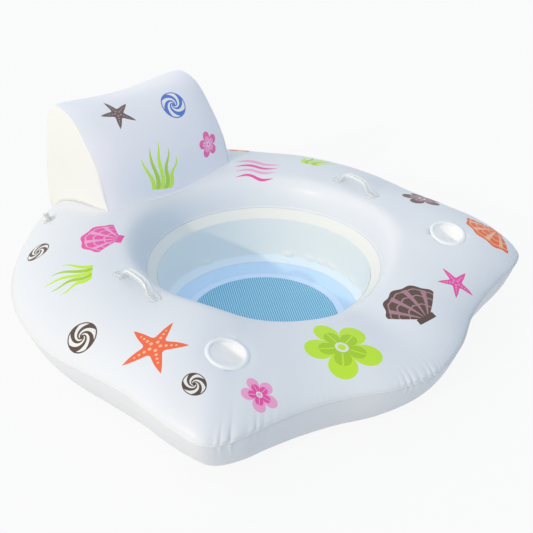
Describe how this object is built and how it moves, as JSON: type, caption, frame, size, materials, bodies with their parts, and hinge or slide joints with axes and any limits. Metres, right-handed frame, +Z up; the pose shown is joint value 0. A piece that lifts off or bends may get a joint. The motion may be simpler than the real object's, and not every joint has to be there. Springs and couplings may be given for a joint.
{
  "type": "inflatable pool chair",
  "caption": "Floating vinyl ring chair with a mesh-bottomed seat well, a welded wedge backrest, cup holders, clear handles and push-in valves.",
  "frame": {"origin": "on the ground under the middle of the chair's bounding box", "axes": "+X towards the sitter's left, which is the right as seen from the front, +Y from the front horns to the backrest, +Z up"},
  "size_m": [1.112, 1.1832, 0.4493],
  "materials": {
    "white_vinyl": "milky, soft gloss",
    "cream_vinyl": "opaque, satin",
    "blue_vinyl": "tinted, soft gloss",
    "lavender_vinyl": "welded, satin",
    "blue_mesh": "woven",
    "clear_vinyl": "moulded, clear"
  },
  "bodies": {
    "chair": {"ring_top_panel": "white_vinyl", "ring_bottom_panel": "white_vinyl", "seat_lip_band": "cream_vinyl", "seat_well_wall": "cream_vinyl", "seat_well_foot": "cream_vinyl", "seat_floor_ring": "blue_vinyl", "seat_mesh": "blue_mesh", "mesh_weld_ring": "lavender_vinyl", "backrest_wrap_panel": "white_vinyl", "backrest_left_gusset": "cream_vinyl", "backrest_right_gusset": "cream_vinyl", "left_cup_sleeve": "cream_vinyl", "left_cup_floor": "cream_vinyl", "left_cup_rim": "cream_vinyl", "right_cup_sleeve": "cream_vinyl", "right_cup_floor": "cream_vinyl", "right_cup_rim": "cream_vinyl", "left_handle": "clear_vinyl", "right_handle": "clear_vinyl", "ring_valve_flange": "clear_vinyl", "backrest_valve_flange": "clear_vinyl"},
    "ring_stem": {"ring_valve_stem": "clear_vinyl"},
    "ring_plug": {"ring_valve_plug": "clear_vinyl"},
    "ring_flap": {"ring_valve_flap": "clear_vinyl"},
    "backrest_stem": {"backrest_valve_stem": "clear_vinyl"},
    "backrest_plug": {"backrest_valve_plug": "clear_vinyl"},
    "backrest_flap": {"backrest_valve_flap": "clear_vinyl"}
  },
  "joints": [
    {"name": "ring_stem_push", "type": "slide", "parent": "chair", "child": "ring_stem", "axis": [0.2943, -0.3284, -0.8975], "range_m": [0, 0.012]},
    {"name": "ring_plug_hinge", "type": "hinge", "parent": "ring_stem", "child": "ring_plug", "pos_m": [-0.30276, 0.37732, 0.22486], "axis": [0.9502, 0, 0.3116], "range_deg": [0, 115]},
    {"name": "ring_flap_hinge", "type": "hinge", "parent": "ring_stem", "child": "ring_flap", "pos_m": [-0.29452, 0.37267, 0.19973], "axis": [-0.9502, 0, -0.3116], "range_deg": [0, 60], "stiffness_Nm_per_rad": 0.0005},
    {"name": "backrest_stem_push", "type": "slide", "parent": "chair", "child": "backrest_stem", "axis": [0, -0.9779, -0.2091], "range_m": [0, 0.012]},
    {"name": "backrest_plug_hinge", "type": "hinge", "parent": "backrest_stem", "child": "backrest_plug", "pos_m": [0, 0.58455, 0.29426], "axis": [-1, 0, 0], "range_deg": [0, 115]},
    {"name": "backrest_flap_hinge", "type": "hinge", "parent": "backrest_stem", "child": "backrest_flap", "pos_m": [0, 0.55774, 0.29293], "axis": [1, 0, 0], "range_deg": [0, 60], "stiffness_Nm_per_rad": 0.0005}
  ]
}
